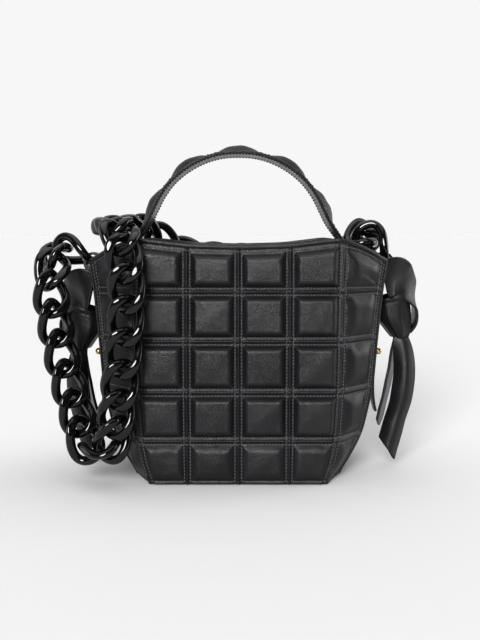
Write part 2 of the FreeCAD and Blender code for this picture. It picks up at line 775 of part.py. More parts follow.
def chain_frames():
    """Placement of every link before easing, tab to tab."""
    curve = Part.BSplineCurve()
    curve.interpolate([V(*row[:3]) for row in CHAIN_RUN])
    marks = [curve.parameter(V(*row[:3])) for row in CHAIN_RUN]
    short = 0.85
    long = 1.15
    for attempt in range(12):
        scale = (short + long) / 2.0
        joints = chain_joints(curve, marks, scale)
        if len(joints) > LINK_COUNT - 2:
            short = scale
        else:
            long = scale
    joints = chain_joints(curve, marks, short)[:LINK_COUNT - 1]
    print("chain pitch scale %.3f, run length %.0f mm" % (short, curve.length()))
    frames = [hooked_link(-1)]
    for one, two in zip(joints, joints[1:]):
        a = curve.value(one)
        b = curve.value(two)
        across = V(*run_value((one + two) / 2.0, marks, 3, 6))
        frames.append(frame((a + b) * 0.5, b - a, across))
    frames.append(hooked_link(1))
    return frames


def closest(one, two):
    """Closest points of two lists of points."""
    best = 1e9
    pair = None
    for ax, ay, az in one:
        for bx, by, bz in two:
            dx = ax - bx
            dy = ay - by
            dz = az - bz
            gap = dx * dx + dy * dy + dz * dz
            if gap < best:
                best = gap
                pair = (ax, ay, az, bx, by, bz)
    return math.sqrt(best), V(*pair[:3]), V(*pair[3:])


def nudge(place, arm, push, size):
    """Move and turn a link by a push applied at an arm from its centre."""
    twist = arm.cross(push) * (size / LINK_INERTIA)
    place.Base = place.Base + push * size
    if twist.Length > 1e-9:
        place.Rotation = FreeCAD.Rotation(twist, math.degrees(twist.Length)).multiply(place.Rotation)


def ease_links(frames):
    """Nudge the links until each hangs clear of its neighbours by the slack."""
    count = 44
    loop = []
    for i in range(count):
        t = 2 * math.pi * i / count
        loop.append(V(LINK_A * math.cos(t), LINK_B * math.sin(t), LINK_C * math.sin(2 * t)))
    target = LINK_D + LINK_SLACK
    wires = [[tuple(f.multVec(p)) for p in loop] for f in frames]
    moved = set(range(len(frames)))
    for sweep in range(150):
        todo = moved
        moved = set()
        for i in range(len(frames)):
            for j in range(i + 1, len(frames)):
                if (frames[i].Base - frames[j].Base).Length > 2 * LINK_A + LINK_D + 4:
                    continue
                if i not in todo and j not in todo and i not in moved and j not in moved:
                    continue
                near, a, b = closest(wires[i], wires[j])
                if near >= target:
                    continue
                push = (a - b) * (1.0 / near)
                arms = (a - frames[i].Base, b - frames[j].Base)
                free = (0.0 if i == 0 else 1.0, 0.0 if j == len(frames) - 1 else 1.0)
                give = 0.0
                for arm, loose in zip(arms, free):
                    give += loose * (1.0 + arm.cross(push).Length ** 2 / LINK_INERTIA)
                size = (target - near) / give
                for k, arm, loose, sign in ((i, arms[0], free[0], 1.0), (j, arms[1], free[1], -1.0)):
                    if loose:
                        nudge(frames[k], arm, push, sign * size)
                        wires[k] = [tuple(frames[k].multVec(p)) for p in loop]
                        moved.add(k)
        if not moved:
            break
    return frames


def link_solid():
    """One curb link: a twisted oval of round wire with its crests pressed flat."""
    along = 20
    around = 10
    fit = (2 + math.cos(2 * math.pi / along)) / 3.0
    fit_twist = (2 + math.cos(4 * math.pi / along)) / 3.0
    fit_wire = (2 + math.cos(2 * math.pi / around)) / 3.0
    radius = LINK_D / 2.0
    poles = []
    for i in range(along):
        t = 2 * math.pi * i / along
        p = V(LINK_A * math.cos(t) / fit, LINK_B * math.sin(t) / fit, LINK_C * math.sin(2 * t) / fit_twist)
        d = V(-LINK_A * math.sin(t), LINK_B * math.cos(t), 2 * LINK_C * math.cos(2 * t))
        d.normalize()
        side = V(0, 0, 1).cross(d)
        side.normalize()
        up = d.cross(side)
        line = []
        for j in range(around):
            a = 2 * math.pi * j / around
            q = p + (side * math.cos(a) + up * math.sin(a)) * (radius / fit_wire)
            limit = LINK_FLAT
            over = abs(q.z) - limit
            if over > 0:
                q.z = math.copysign(limit + 0.15 * over, q.z)
            line.append(q)
        poles.append(line)
    surface = Part.BSplineSurface()
    surface.buildFromPolesMultsKnots(poles, [1] * (along + 1), [1] * (around + 1),
                                     [float(k) for k in range(along + 1)],
                                     [float(k) for k in range(around + 1)], True, True, 3, 3)
    return solid_of([surface.toShape()])


def make_chain():
    """All the links, each placed by its frame."""
    link = link_solid()
    places = ease_links(chain_frames())
    places[32].Base = places[32].Base + V(LINK_33_CLEARANCE, 0, 0)
    for k, place in enumerate(places):
        piece = link.copy()
        piece.Placement = place
        NODES["chain_link_%02d" % (k + 1)] = piece


# ---------------------------------------------------------------- build
make_panels()
make_gussets()
make_base_and_lining()
make_inside()
make_handle()
make_handle_feet()
make_knots()
make_tabs()
make_chain()

os.makedirs("parts", exist_ok=True)
for node, shape in NODES.items():
    if not shape.isValid():
        print("not valid:", node)
    box = shape.BoundBox
    print("%-20s %9.1f mm3  x %7.1f %7.1f  y %6.1f %6.1f  z %6.1f %6.1f" % (
        node, shape.Volume, box.XMin, box.XMax, box.YMin, box.YMax, box.ZMin, box.ZMax))
    shape.exportStep("parts/" + node + ".step")
print(len(NODES), "nodes")
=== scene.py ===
"""Looks of the bucket bag: quilted leather, stitching, padded handle, tied straps and glossy chain."""

import json
import math

import bpy
import numpy as np
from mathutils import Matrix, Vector


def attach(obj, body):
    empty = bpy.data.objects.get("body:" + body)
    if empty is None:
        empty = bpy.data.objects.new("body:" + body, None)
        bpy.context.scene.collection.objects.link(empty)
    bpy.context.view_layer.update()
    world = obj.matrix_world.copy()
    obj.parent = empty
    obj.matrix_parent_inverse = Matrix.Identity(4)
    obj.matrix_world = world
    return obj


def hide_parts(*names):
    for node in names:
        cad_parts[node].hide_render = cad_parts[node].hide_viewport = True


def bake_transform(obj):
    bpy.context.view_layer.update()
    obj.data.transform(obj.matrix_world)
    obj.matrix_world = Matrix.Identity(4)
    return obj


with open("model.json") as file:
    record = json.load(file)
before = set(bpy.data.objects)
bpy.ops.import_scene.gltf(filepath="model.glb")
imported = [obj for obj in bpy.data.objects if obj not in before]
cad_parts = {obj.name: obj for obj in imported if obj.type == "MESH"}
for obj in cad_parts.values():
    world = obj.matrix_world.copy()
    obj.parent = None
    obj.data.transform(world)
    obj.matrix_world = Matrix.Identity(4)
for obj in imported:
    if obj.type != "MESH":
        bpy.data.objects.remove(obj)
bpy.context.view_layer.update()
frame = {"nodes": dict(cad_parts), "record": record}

MM = 0.001

# ---------------------------------------------------------------- the bag's own dimensions, mm
LEVELS = [
    # z, corner_x, front_y, seam_x, seam_y
    (0.0, 61.0, 47.6, 72.0, 22.5),
    (12.0, 66.0, 48.4, 80.0, 23.2),
    (32.0, 70.0, 48.5, 90.0, 24.0),
    (66.0, 72.0, 49.5, 97.5, 25.0),
    (102.0, 72.5, 49.5, 100.5, 25.0),
    (137.0, 73.0, 48.5, 104.0, 25.0),
    (175.0, 74.0, 46.5, 110.0, 24.0),
]
# Side pleat: height, depth.
PLEAT = [(0.0, 0.0), (66.0, 0.0), (102.0, 6.0), (137.0, 22.0), (175.0, 38.0)]
PLEAT_HALF = 18.0           # half width of the pleat's floor
# Rim: distance from the bag's middle, height.
RIM = [(0.0, 167.6), (36.0, 168.6), (72.0, 173.0), (92.0, 166.0), (110.0, 156.0)]
RIM_TOP = 168.0             # height of the rim over the middle tiles
GUSSET_FOOT = 2.2           # height of the gusset's lower edge
LEATHER_T = 1.2             # thickness of the gusset's leather
QUILT_T = 1.25              # thickness of the quilt's leather

TILE_PITCH = 36.0
TILE_ROWS = [0.6, 31.5, 66.0, 102.0, 136.5]  # heights of the horizontal seams
TILE_LINES = (0.0, 0.45, 0.9, 1.4, 2.0, 2.6, 3.2, 3.9, 4.6, 5.4, 6.2, 7.1, 8.2, 9.6, 11.2, 12.9, 14.6, 16.3)
TILE_RISE = 4.2
FOOT_TILE_RISE = 2.7        # the lowest row is flatter
TILE_START = 3.0            # where the padding starts, from a seam
TILE_SLOPE = 4.2            # width of a tile's bevel
WING_SLOPE = 8.5            # the tiles on the side wings are pillows
SIDE_HEM = 2.0              # extra flat band beside the side seams
RIM_HEM = 2.4               # and under the rim
SEAM_HALF = 2.35            # a stitch row's distance from its seam
SIDE_ROWS = (2.2, 5.2)      # stitch rows beside a side seam
RIM_ROW = 3.6               # stitch row under the rim
STITCH = 2.35               # stitch pitch
THREAD = 0.50               # thread radius
STITCH_TILT = 0.22          # lean of a stitch, to and fro from row to row

HANDLE_PATH = [(0.0, 235.6), (11.5, 234.9), (23.0, 232.0), (36.5, 225.4), (48.8, 215.5), (57.0, 204.6),
               (63.0, 192.8), (67.2, 184.5), (72.4, 176.8), (77.0, 170.2), (80.0, 165.6), (82.4, 161.5)]
HANDLE_W = 34.0
HANDLE_TAPER = 26.0         # length over which the handle narrows at its ends
HANDLE_PAD_PITCH = 38.5
HANDLE_PAD_RISE = 4.6
HANDLE_ROW = 2.2            # stitch row's distance from the handle's edge
STRAP_W = 24.0
STRAP_T = 2.2
KNOT_DROP = 8.5             # how much lower the left knot hangs


# ---------------------------------------------------------------- numbers
def column(rows, k):
    """Softened value of a table's column as a function of its key."""
    keys = np.array([r[0] for r in rows])
    values = np.array([r[k] for r in rows])

    def value(key):
        key = np.asarray(key, float)
        return sum(np.interp(key + 7.0 * i / 3.0, keys, values) for i in range(-3, 4)) / 7.0
    return value


corner_x = column(LEVELS, 1)
front_y = column(LEVELS, 2)
seam_x = column(LEVELS, 3)
seam_y = column(LEVELS, 4)
pleat_in = column(PLEAT, 1)
rim_of = column(RIM, 1)


def smooth(a):
    a = np.clip(a, 0.0, 1.0)
    return a * a * (3.0 - 2.0 * a)


def bell(x, width):
    return np.exp(-(x / width) ** 2)


def ripples(points, size, seed, waves=7):
    """Smooth random field over points, about -1 to 1, with features of a size in mm."""
    rng = np.random.default_rng(seed)
    total = np.zeros(points.shape[:-1])
    for k in range(waves):
        direction = rng.normal(size=3)
        direction /= np.linalg.norm(direction)
        pitch = size * rng.uniform(0.7, 1.6)
        total += np.sin(points @ direction * (2 * math.pi / pitch) + rng.uniform(0, 6.28))
    return total / math.sqrt(waves)


def unit(v):
    return v / np.maximum(np.linalg.norm(v, axis=-1, keepdims=True), 1e-12)


def grid_normals(grid):
    """Unit normals of a grid of points."""
    return unit(np.cross(np.gradient(grid, axis=0), np.gradient(grid, axis=1)))


def path_marks(points):
    """Distance along a path at each of its points."""
    gaps = np.linalg.norm(np.diff(points, axis=0), axis=1)
    return np.concatenate([[0.0], np.cumsum(gaps)])


def along_path(at, marks, points):
    """Points at given distances along a path."""
    return np.stack([np.interp(at, marks, points[:, k]) for k in range(3)], -1)


def smooth_path(knots, count):
    """Even points along a smooth curve through knots; each knot may carry more columns."""
    knots = np.asarray(knots, float)
    marks = path_marks(knots[:, :3])
    slopes = np.gradient(knots, marks, axis=0, edge_order=2)
    t = np.linspace(0.0, marks[-1], count)
    k = np.clip(np.searchsorted(marks, t, side="right") - 1, 0, len(marks) - 2)
    h = (marks[k + 1] - marks[k])[:, None]
    a = (t[:, None] - marks[k][:, None]) / h
    p0, p1, m0, m1 = knots[k], knots[k + 1], slopes[k] * h, slopes[k + 1] * h
    return ((2 * a ** 3 - 3 * a ** 2 + 1) * p0 + (a ** 3 - 2 * a ** 2 + a) * m0
            + (-2 * a ** 3 + 3 * a ** 2) * p1 + (a ** 3 - a ** 2) * m1)


def path_frames(points, hint):
    """Direction, width direction and normal along a path, from a hint of the width direction."""
    d = unit(np.gradient(points, axis=0))
    w = unit(hint - d * np.sum(hint * d, axis=1, keepdims=True))
    return d, w, np.cross(d, w)


def flip_x(points):
    return points * np.array([-1.0, 1.0, 1.0])


def flip_y(points):
    return points * np.array([1.0, -1.0, 1.0])


def flip_xy(points):
    return points * np.array([-1.0, -1.0, 1.0])


def same(points):
    return points


# ---------------------------------------------------------------- meshes
def make_object(name, points, faces, material):
    """Mesh object from points in mm."""
    mesh = bpy.data.meshes.new(name)
    mesh.from_pydata((np.asarray(points) * MM).tolist(), [], faces)
    mesh.validate()
    mesh.shade_smooth()
    mesh.materials.append(material)
    obj = bpy.data.objects.new(name, mesh)
    bpy.context.scene.collection.objects.link(obj)
    return obj


def turned_out(points, faces):
    """The faces in the order that makes a closed mesh face outwards."""
    volume = 0.0
    for f in faces:
        a = points[f[0]]
        for i in range(1, len(f) - 1):
            volume += np.dot(a, np.cross(points[f[i]], points[f[i + 1]]))
    return [f[::-1] for f in faces] if volume < 0 else faces


def grid_faces(rows, cols, start=0):
    index = np.arange(rows * cols).reshape(rows, cols) + start
    quads = np.stack([index[:-1, :-1], index[1:, :-1], index[1:, 1:], index[:-1, 1:]], -1)
    return quads.reshape(-1, 4).tolist()


def thick_sheet(top, bottom):
    """Closed solid between two matching grids."""
    rows, cols, _ = top.shape
    points = np.concatenate([top.reshape(-1, 3), bottom.reshape(-1, 3)])
    under = rows * cols
    faces = grid_faces(rows, cols)
    faces += [f[::-1] for f in grid_faces(rows, cols, under)]
    index = np.arange(under).reshape(rows, cols)
    border = list(index[0, :]) + list(index[1:, -1]) + list(index[-1, -2::-1]) + list(index[-2:0:-1, 0])
    for a, b in zip(border, border[1:] + border[:1]):
        faces.append([int(a), int(b), int(b) + under, int(a) + under])
    return points, turned_out(points, faces)


def tube(loops, closed=False):
    """Closed skin through loops of points: capped at both ends, or joined end to end."""
    count, around, _ = loops.shape
    points = loops.reshape(-1, 3)
    faces = []
    for i in range(count if closed else count - 1):
        a = i * around
        b = ((i + 1) % count) * around
        for j in range(around):
            k = (j + 1) % around
            faces.append([a + j, a + k, b + k, b + j])
    if not closed:
        first = points[:around].mean(0)
        last = points[-around:].mean(0)
        points = np.concatenate([points, [first, last]])
        n = len(points)
        end = (count - 1) * around
        for j in range(around):
            k = (j + 1) % around
            faces.append([n - 2, k, j])
            faces.append([n - 1, end + j, end + k])
    return points, turned_out(points, faces)


# ---------------------------------------------------------------- materials
class Nodes:
    """Small helper that adds and links shader nodes."""

    def __init__(self, name):
        self.material = bpy.data.materials.new(name)
        self.material.use_nodes = True
        self.tree = self.material.node_tree
        self.shader = self.tree.nodes["Principled BSDF"]
        self.place = self.add("ShaderNodeTexCoord").outputs["Object"]

    def add(self, kind, inputs=None, **settings):
        node = self.tree.nodes.new(kind)
        for key, value in settings.items():
            setattr(node, key, value)
        for key, value in (inputs or {}).items():
            self.put(node.inputs[key], value)
        return node

    def put(self, socket, value):
        if isinstance(value, bpy.types.NodeSocket):
            self.tree.links.new(value, socket)
        else:
            socket.default_value = value

    def set(self, **inputs):
        for key, value in inputs.items():
            self.put(self.shader.inputs[key.replace("_", " ")], value)

    def noise(self, scale, detail=3.0, rough=0.5):
        return self.add("ShaderNodeTexNoise", {"Vector": self.place, "Scale": scale, "Detail": detail,
                                               "Roughness": rough}).outputs["Fac"]

    def axes(self):
        return self.add("ShaderNodeSeparateXYZ", {"Vector": self.place}).outputs

    def ramp(self, value, low, high, from_low=0.0, from_high=1.0):
        node = self.add("ShaderNodeMapRange", {"Value": value, "From Min": from_low, "From Max": from_high,
                                               "To Min": low, "To Max": high})
        return node.outputs["Result"]

    def math(self, kind, a, b=0.0):
        node = self.add("ShaderNodeMath", operation=kind)
        self.put(node.inputs[0], a)
        self.put(node.inputs[1], b)
        return node.outputs[0]

    def mix(self, factor, one, two):
        node = self.add("ShaderNodeMix", data_type="RGBA")
        self.put(node.inputs[0], factor)
        self.put(node.inputs[6], (*one, 1.0))
        self.put(node.inputs[7], (*two, 1.0))
        return node.outputs[2]

    def bump(self, height, distance, strength, under=None):
        inputs = {"Height": height, "Distance": distance, "Strength": strength}
        if under is not None:
            inputs["Normal"] = under
        return self.add("ShaderNodeBump", inputs).outputs["Normal"]


def leather(name, dark, light, rough, grain=1.0, crease=1.0):
    """Smooth nappa: fine pebbled grain, faint creases, worn-in gloss differences."""
    n = Nodes(name)
    cells = n.add("ShaderNodeTexVoronoi", {"Vector": n.place, "Scale": 1150.0, "Randomness": 1.0},
                  feature="DISTANCE_TO_EDGE").outputs["Distance"]
    pebble = n.ramp(cells, 0.0, 1.0, 0.0, 0.28)
    fine = n.noise(2600.0, 2.0, 0.6)
    pores = n.math("ADD", pebble, n.math("MULTIPLY", fine, 0.6))
    soft = n.noise(62.0, 4.0, 0.55)
    wander = n.noise(230.0, 3.0, 0.6)
    patches = n.noise(28.0, 3.0, 0.5)
    n.set(Base_Color=n.mix(n.ramp(patches, 0.0, 1.0, 0.35, 0.65), dark, light),
          Roughness=n.math("ADD", n.ramp(patches, rough - 0.05, rough + 0.05, 0.3, 0.7),
                           n.ramp(pebble, 0.05, -0.02)),
          Specular_IOR_Level=0.36)
    low = n.bump(soft, 0.0022, 0.07 * crease)
    mid = n.bump(wander, 0.0005, 0.12 * crease, low)
    n.set(Normal=n.bump(pores, 0.00009, 0.75 * grain, mid))
    return n.material


def resin():
    """Glossy black moulded resin of the chain."""
    n = Nodes("chain_resin_gloss")
    swirl = n.noise(90.0, 3.0, 0.5)
    scuff = n.noise(900.0, 4.0, 0.65)
    n.set(Base_Color=n.mix(swirl, (0.0022, 0.0022, 0.0026), (0.0040, 0.0040, 0.0045)),
          Roughness=n.math("ADD", n.ramp(swirl, 0.075, 0.11, 0.35, 0.65),
                           n.ramp(scuff, -0.005, 0.015, 0.4, 0.7)),
          Specular_IOR_Level=0.5)
    n.set(Normal=n.bump(swirl, 0.0006, 0.12, n.bump(scuff, 0.00004, 0.2)))
    return n.material


def metal(name, color, rough):
    """Brushed metal, slightly tarnished in patches."""
    n = Nodes(name)
    brushed = n.noise(1400.0, 3.0, 0.6)
    tarnish = n.noise(220.0, 3.0, 0.5)
    n.set(Base_Color=n.mix(n.ramp(tarnish, 0.0, 1.0, 0.3, 0.7), color, tuple(c * 0.8 for c in color)),
          Metallic=1.0, Roughness=n.ramp(brushed, rough - 0.06, rough + 0.1, 0.3, 0.7))
    n.set(Normal=n.bump(brushed, 0.00003, 0.25))
    return n.material


def woven(name, dark, light, pitch):
    """Fine plain-weave textile."""
    n = Nodes(name)
    axes = n.axes()
    turns = 2 * math.pi / pitch
    across = n.math("SINE", n.math("MULTIPLY", n.math("ADD", axes[0], axes[1]), turns))
    down = n.math("SINE", n.math("MULTIPLY", axes[2], turns))
    weave = n.math("MULTIPLY", across, down)
    slub = n.noise(420.0, 3.0, 0.6)
    n.set(Base_Color=n.mix(n.ramp(n.math("ADD", weave, slub), 0.0, 1.0, -1.0, 1.6), dark, light),
          Roughness=n.ramp(slub, 0.72, 0.9), Sheen_Weight=0.15, Specular_IOR_Level=0.3)
    n.set(Normal=n.bump(weave, 0.00015, 0.6, n.bump(slub, 0.0002, 0.3)))
    return n.material


def thread(name, dark, light):
    """Twisted sewing thread."""
    n = Nodes(name)
    axes = n.axes()
    slant = n.math("ADD", axes[0], n.math("ADD", axes[1], axes[2]))
    twist = n.math("SINE", n.math("MULTIPLY", slant, 9000.0))
    fuzz = n.noise(3000.0, 2.0, 0.5)
    n.set(Base_Color=n.mix(n.ramp(n.math("ADD", twist, fuzz), 0.0, 1.0, -1.0, 2.0), dark, light),
          Roughness=n.ramp(fuzz, 0.4, 0.6), Sheen_Weight=0.2)
    n.set(Normal=n.bump(twist, 0.00008, 0.5))
    return n.material


def plain_grain(name, dark, light, rough, scale):
    """Dull material with one even grain, for foam and board."""
    n = Nodes(name)
    grain = n.noise(scale, 5.0, 0.6)
    n.set(Base_Color=n.mix(grain, dark, light), Roughness=n.ramp(grain, rough - 0.08, rough + 0.08, 0.3, 0.7))
    n.set(Normal=n.bump(grain, 0.0002, 0.4))
    return n.material


NAPPA = leather("nappa_body", (0.0060, 0.0056, 0.0068), (0.0095, 0.0090, 0.0105), 0.33)
NAPPA_HANDLE = leather("nappa_handle", (0.0060, 0.0056, 0.0068), (0.0095, 0.0090, 0.0105), 0.28)
STRAP = leather("nappa_strap", (0.0060, 0.0056, 0.0066), (0.0095, 0.0090, 0.0102), 0.30, 0.9, 0.8)
FACING = leather("nappa_facing", (0.011, 0.011, 0.0115), (0.016, 0.016, 0.017), 0.46)
BASE = leather("nappa_base", (0.010, 0.010, 0.0105), (0.015, 0.015, 0.016), 0.48, 1.3)
THREAD_BLACK = thread("thread_black", (0.022, 0.021, 0.024), (0.080, 0.077, 0.084))
RESIN = resin()
BRASS = metal("stud_brass_polish", (0.83, 0.60, 0.27), 0.22)
SNAP = metal("snap_brass_satin", (0.80, 0.58, 0.28), 0.30)
LINING = woven("lining_textile", (0.010, 0.010, 0.011), (0.028, 0.028, 0.030), 0.0009)
FOAM = plain_grain("foam_pale", (0.62, 0.60, 0.55), (0.78, 0.76, 0.70), 0.9, 900.0)
BOARD = plain_grain("fibre_board", (0.25, 0.22, 0.18), (0.38, 0.34, 0.28), 0.85, 700.0)

SLOT_LOOKS = {
    "body_leather": NAPPA, "handle_leather": NAPPA_HANDLE, "strap_leather": STRAP, "base_leather": BASE,
    "facing_leather": FACING, "lining": LINING, "foam": FOAM, "board": BOARD, "snap_metal": SNAP,
    "stud_brass": BRASS, "chain_resin": RESIN,
}
slot_of = {part["node"]: part["material_slot"] for part in frame["record"]["subparts"]}
for node, obj in frame["nodes"].items():
    obj.data.materials.clear()
    obj.data.materials.append(SLOT_LOOKS[slot_of[node]])


# ---------------------------------------------------------------- stitches
def stitch_mesh(name, runs, body):
    """Threads lying on a surface. Each run is points and outward normals along a sewn line."""
    points = []
    faces = []
    sides = 5
    angles = np.arange(sides) * 2 * math.pi / sides
    half = STITCH * 0.42
    sunk = THREAD * 0.7
    for k, (line, normals) in enumerate(runs):
        marks = path_marks(line)
        count = max(1, int(marks[-1] / STITCH))
        centres = (np.arange(count) + 0.5) * marks[-1] / count
        spots = along_path(centres, marks, line)
        out = unit(along_path(centres, marks, normals))
        along = unit(along_path(centres + 0.3, marks, line) - along_path(centres - 0.3, marks, line))
        lean = STITCH_TILT if k % 2 else -STITCH_TILT
        along = unit(along + np.cross(out, along) * lean)
        side = unit(np.cross(out, along))
        for p, t, s, o in zip(spots, along, side, out):
            start = len(points)
            points.append(p - t * half - o * sunk)
            for place in (-0.55, 0.55):
                for a in angles:
                    points.append(p + t * half * place + s * THREAD * math.cos(a)
                                  + o * THREAD * (math.sin(a) + 0.25))
            points.append(p + t * half - o * sunk)
            for j in range(sides):
                n = (j + 1) % sides
                near, far = start + 1, start + 1 + sides
                faces.append([start, near + n, near + j])
                faces.append([near + j, near + n, far + n, far + j])
                faces.append([far + j, far + n, far + sides])
    obj = make_object(name, points, faces, THREAD_BLACK)
    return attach(obj, body) if body else obj


# ---------------------------------------------------------------- quilted panels
def wing_width(z):
    """Width of the outermost tile, from the front corner to the side seam."""
    return np.hypot(seam_x(z) - corner_x(z), front_y(z) - seam_y(z))


def wall(u, z):
    """Front wall without padding: u is -3..3 across, corners at +-2, side seams at +-3."""
    a = np.abs(u)

    def plain(b):
        x_in = np.where(b <= 1.0, TILE_PITCH * b, TILE_PITCH + (corner_x(z) - TILE_PITCH) * (b - 1.0))
        k = np.clip(b - 2.0, 0.0, 1.0)
        x = np.where(b <= 2.0, x_in, corner_x(z) + (seam_x(z) - corner_x(z)) * k)
        y = np.where(b <= 2.0, -front_y(z), -front_y(z) + (front_y(z) - seam_y(z)) * k)
        return x, y

    # the corner is rounded by averaging the wall over a short reach on both sides of it
    reach = 0.16 * np.clip(1.0 - np.abs(a - 2.0) / 0.3, 0.0, 1.0)
    x0, y0 = plain(a - reach)
    x1, y1 = plain(a + reach)
    xm, ym = plain(a)
    x = (x0 + x1 + 2 * xm) / 4.0
    y = (y0 + y1 + 2 * ym) / 4.0
    return np.stack([np.where(u >= 0, x, -x), y, z + 0.0 * x], -1)


def panel_z(u, w):
    """Height at a place in the quilt: w is 0..5, whole numbers on the horizontal seams."""
    top = rim_of(np.abs(wall(u, np.full_like(u, 165.0))[..., 0]))
    low = np.interp(w, range(5), TILE_ROWS)
    return np.where(w <= 4.0, low, TILE_ROWS[4] + (top - TILE_ROWS[4]) * (w - 4.0))


def quilt_lift(u, w, z, base):
    """How far the padding lifts the leather off the plain wall."""
    tile = np.clip(np.floor(u), -3, 2)
    row = np.clip(np.floor(w), 0, 4)
    wing = (np.abs(tile + 0.5) > 2).astype(float)
    foot = row == 0

    # distances to the seams
    width = np.where(wing > 0, wing_width(z), TILE_PITCH)
    from_left = (u - tile) * width
    from_right = (1.0 - (u - tile)) * width
    above = panel_z(u, row + 1) - z
    dx = np.minimum(from_left, from_right)
    dz = np.minimum(z - panel_z(u, row), above)
    outer_edge = np.where(u > 0, from_right, from_left) + 100.0 * (1 - wing)
    rim_gap = np.where(row == 4, above, 99.0)

    # the padded plateau of the tile, with rounded corners where two bevels meet
    slope = np.where(wing > 0, WING_SLOPE, TILE_SLOPE) + np.where(foot, 1.0, 0.0)
    near_x = (dx - TILE_START - np.where(outer_edge < 20, SIDE_HEM, 0.0)) / slope
    near_z = (dz - TILE_START - np.where(rim_gap < 20, RIM_HEM, 0.0)) / slope
    blunt = np.where(wing > 0, 0.45, 0.12)
    pair = 0.5 * (near_x + near_z) - 0.5 * np.sqrt((near_x - near_z) ** 2 + blunt ** 2) + 0.1 * blunt
    plateau = np.sin(np.clip(pair, 0.0, 1.0) * math.pi / 2) ** 1.25
    rise = np.where(foot, FOOT_TILE_RISE, TILE_RISE) * np.where(wing > 0, 0.8, 1.0)
    crown = 0.30 * smooth((pair - 1.0) / 2.0)

    # the folded edge that stands on each seam, and the dip under the stitches
    ridge = np.maximum(bell(dx, 0.70) * np.where(np.abs(u) > 2.9, 0, 1),
                       bell(dz, 0.70) * np.where((w < 0.5) | (w > 4.5), 0, 1))
    groove = np.maximum(bell(dx - SEAM_HALF, 0.75), bell(dz - SEAM_HALF, 0.75))
    lift = rise * plateau + crown + 1.15 * ridge - 0.45 * groove

    # slack leather, and puckers beside the stitches
    wavy = ripples(base, 21.0, 3) * 0.22 + ripples(base, 8.5, 4) * 0.035
    slack = np.where(foot, 1.5, 1.0) + 0.8 * wing
    lift = lift + wavy * slack * (0.35 + 0.65 * plateau)
    pucker = ripples(base * np.array([1.0, 1.0, 0.08]), 5.6, 8) * bell(dz - 4.6, 2.2)
    pucker += ripples(base * np.array([0.08, 0.08, 1.0]), 5.6, 9) * bell(dx - 4.6, 2.2)
    lift = lift + 0.16 * pucker
    return lift * (0.25 + 0.75 * smooth(outer_edge / 3.5))


def panel(u, w):
    """Points of the quilted front at u, w."""
    u, w = np.broadcast_arrays(np.asarray(u, float), np.asarray(w, float))
    z = panel_z(u, w)
    base = wall(u, z)
    along = wall(np.minimum(u + 0.04, 3.0), z) - wall(np.maximum(u - 0.04, -3.0), z)
    out = unit(np.stack([along[..., 1], -along[..., 0], np.zeros_like(z)], -1))
    return base + out * quilt_lift(u, w, z, base)[..., None]


def tile_places():
    """Places of the mesh lines across one tile, 0 to 1, close together near its seams."""
    near = np.array(TILE_LINES)
    return np.concatenate([near, [TILE_PITCH / 2.0], TILE_PITCH - near[:0:-1]]) / TILE_PITCH


def surface_run(u, w):
    """A sewn line on the quilt and its outward normals."""
    side = panel(u + 0.01, w) - panel(u - 0.01, w)
    rise = panel(u, w + 0.01) - panel(u, w - 0.01)
    n = unit(np.cross(side, rise))
    return panel(u, w), np.where(n[:, 1:2] > 0, -n, n)


def panel_stitches():
    """Double rows along every seam, two rows beside each side seam and one under the rim."""
    runs = []
    w = np.linspace(0.03, 4.97, 420)
    for seam in (-2, -1, 0, 1, 2):
        for side in (-1, 1):
            u = np.full_like(w, seam + side * SEAM_HALF / TILE_PITCH)
            if seam * side == 2:
                u = seam + side * SEAM_HALF / wing_width(panel_z(u, w))
            runs.append(surface_run(u, w))
    for seam in (-3, 3):
        for gap in SIDE_ROWS:
            z = panel_z(np.full_like(w, float(seam)), w)
            runs.append(surface_run(seam - np.sign(seam) * gap / wing_width(z), w))
    u = np.linspace(-2.9, 2.9, 520)
    heights = np.diff(TILE_ROWS + [RIM_TOP])
    for seam in (1, 2, 3, 4):
        for side in (-1, 1):
            height = heights[seam if side > 0 else seam - 1]
            runs.append(surface_run(u, np.full_like(u, seam + side * SEAM_HALF / height)))
    runs.append(surface_run(u, np.full_like(u, 5.0 - RIM_ROW / 32.0)))
    return runs


tiles = tile_places()
grid_u, grid_w = np.meshgrid(np.concatenate([tiles + k for k in range(-3, 3)] + [[3.0]]),
                             np.concatenate([tiles + k for k in range(5)] + [[5.0]]))
outer = panel(grid_u, grid_w)
normals = grid_normals(outer)
normals = np.where(normals[..., 1:2] > 0, -normals, normals)
inner = outer - normals * QUILT_T
inner[0, :, 2] = outer[0, :, 2]
inner[-1, :, 2] = outer[-1, :, 2]
runs = panel_stitches()
for name, turn in (("front", same), ("back", flip_y)):
    points, faces = thick_sheet(turn(outer), turn(inner))
    skin = make_object("quilt_" + name, points, faces, NAPPA)
    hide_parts(name + "_panel", "quilt_pads")
    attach(skin, "bag")
    stitch_mesh("stitches_" + name, [(turn(line), turn(n)) for line, n in runs], "bag")


